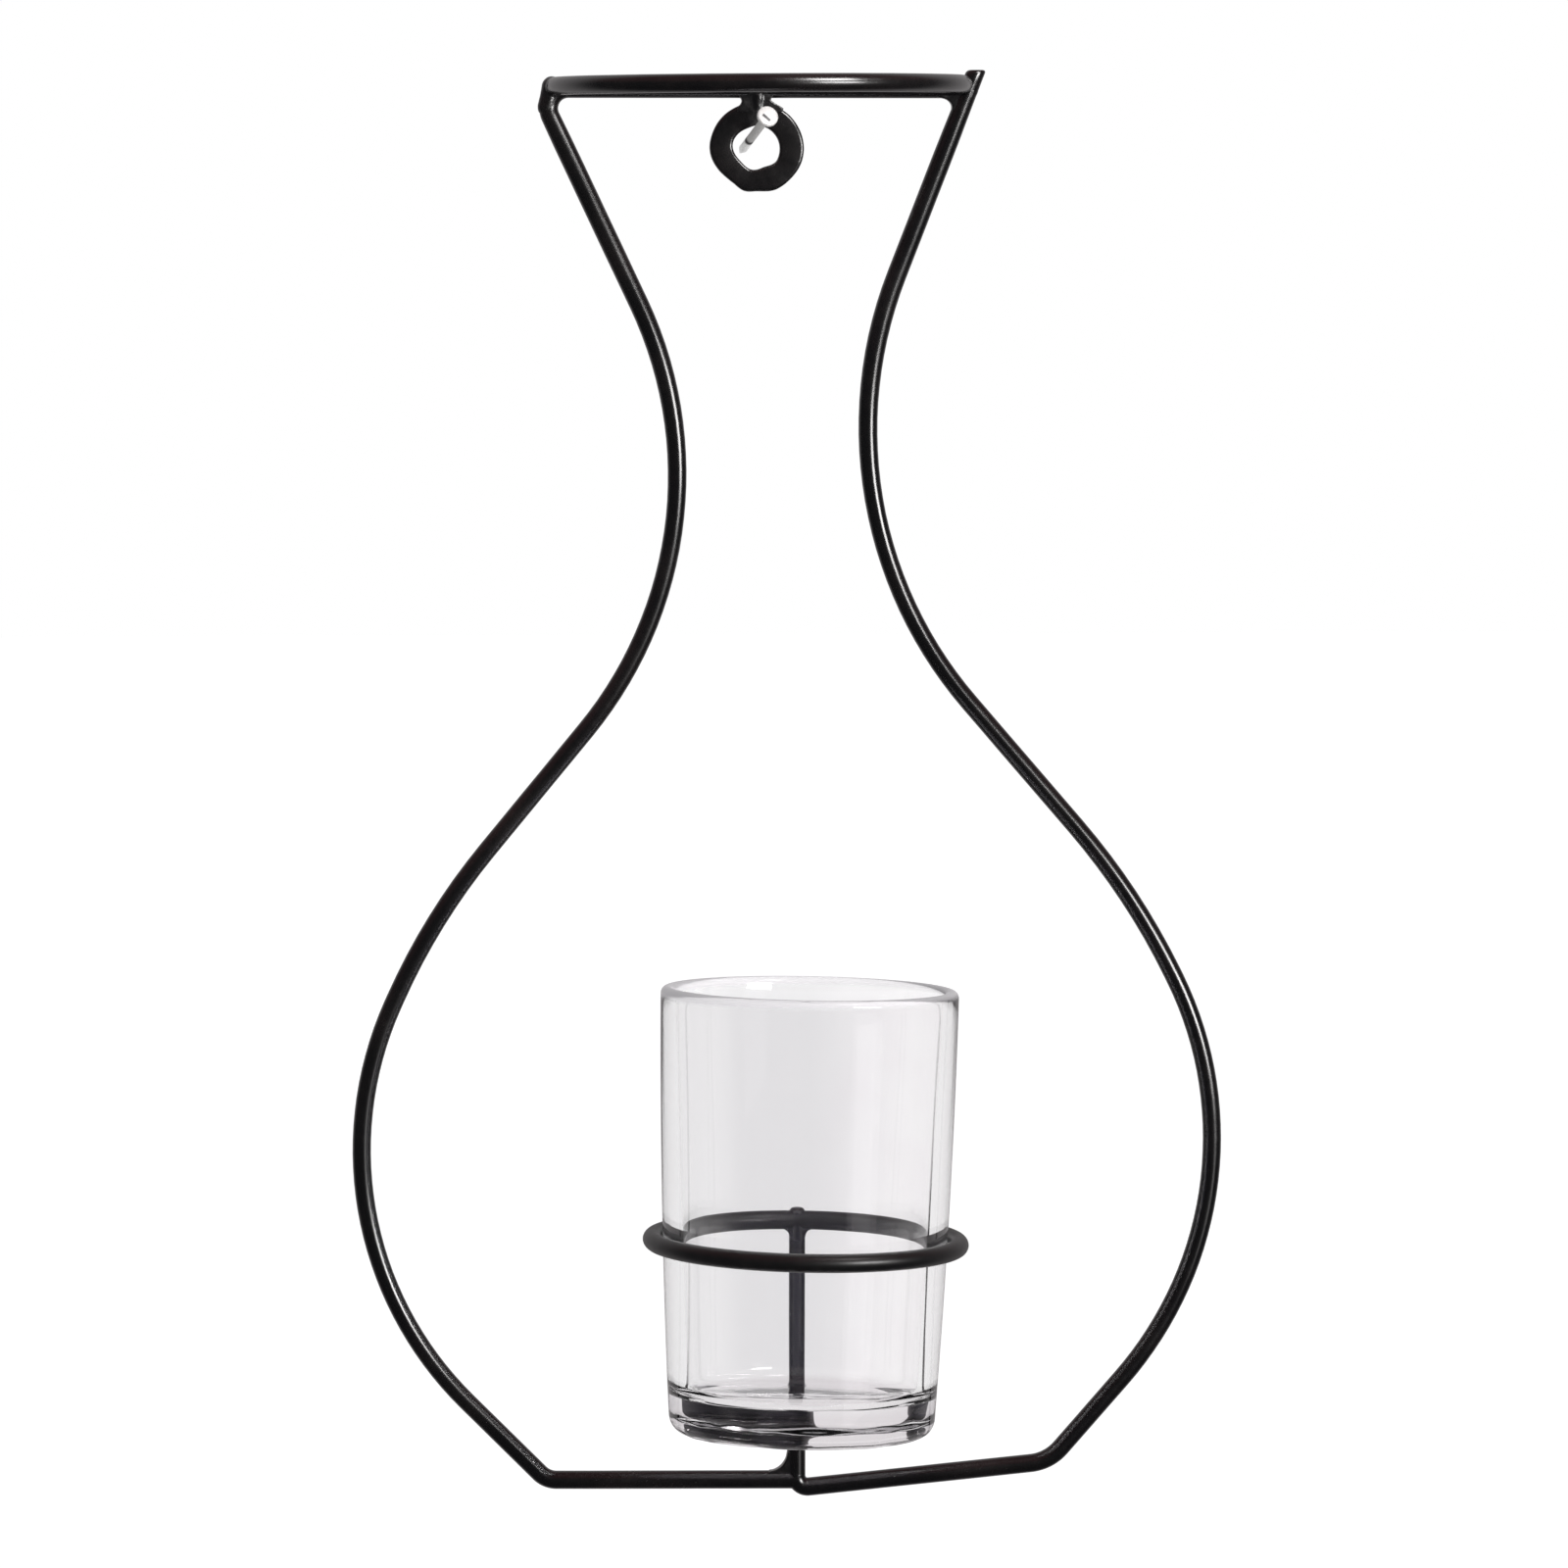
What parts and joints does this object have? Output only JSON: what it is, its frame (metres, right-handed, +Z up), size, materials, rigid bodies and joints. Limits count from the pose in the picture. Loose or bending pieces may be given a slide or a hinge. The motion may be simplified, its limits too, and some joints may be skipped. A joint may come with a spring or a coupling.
{
  "type": "hanging wall vase",
  "caption": "Hourglass-shaped bent-wire wall vase with a half-ring mouth and a small clear glass cup wedged in a wire ring, hung by an eyelet on a nail.",
  "frame": {"origin": "the point where the nail's axis enters the wall, in the wall plane", "axes": "+X to the viewer's right along the wall, +Y into the wall, +Z up the wall; the vase hangs on -Y"},
  "size_m": [0.1515, 0.0618, 0.2479],
  "materials": {
    "black_paint": "satin black enamel",
    "clear_glass": "clear, polished",
    "bright_steel": "bright drawn steel"
  },
  "bodies": {
    "nail": {"wall_nail": "bright_steel"},
    "vase_frame": {"left_side_wire": "black_paint", "right_side_wire": "black_paint", "mouth_front_arc": "black_paint", "hanging_eyelet": "black_paint", "cup_ring": "black_paint", "weld_arc_left": "black_paint", "weld_arc_right": "black_paint", "weld_bar_end": "black_paint", "weld_eyelet": "black_paint", "weld_foot": "black_paint", "weld_ring_left": "black_paint", "weld_ring_right": "black_paint"},
    "cup": {"glass_cup": "clear_glass"}
  },
  "joints": [
    {"name": "vase_swing", "type": "hinge", "parent": "nail", "child": "vase_frame", "pos_m": [0.0004, -0.0016, 0.00067], "axis": [0, 1, 0], "range_deg": [-30, 30]},
    {"name": "cup_lift", "type": "slide", "parent": "vase_frame", "child": "cup", "axis": [0.0192, 0, 0.9998], "range_m": [0, 0.06]}
  ]
}
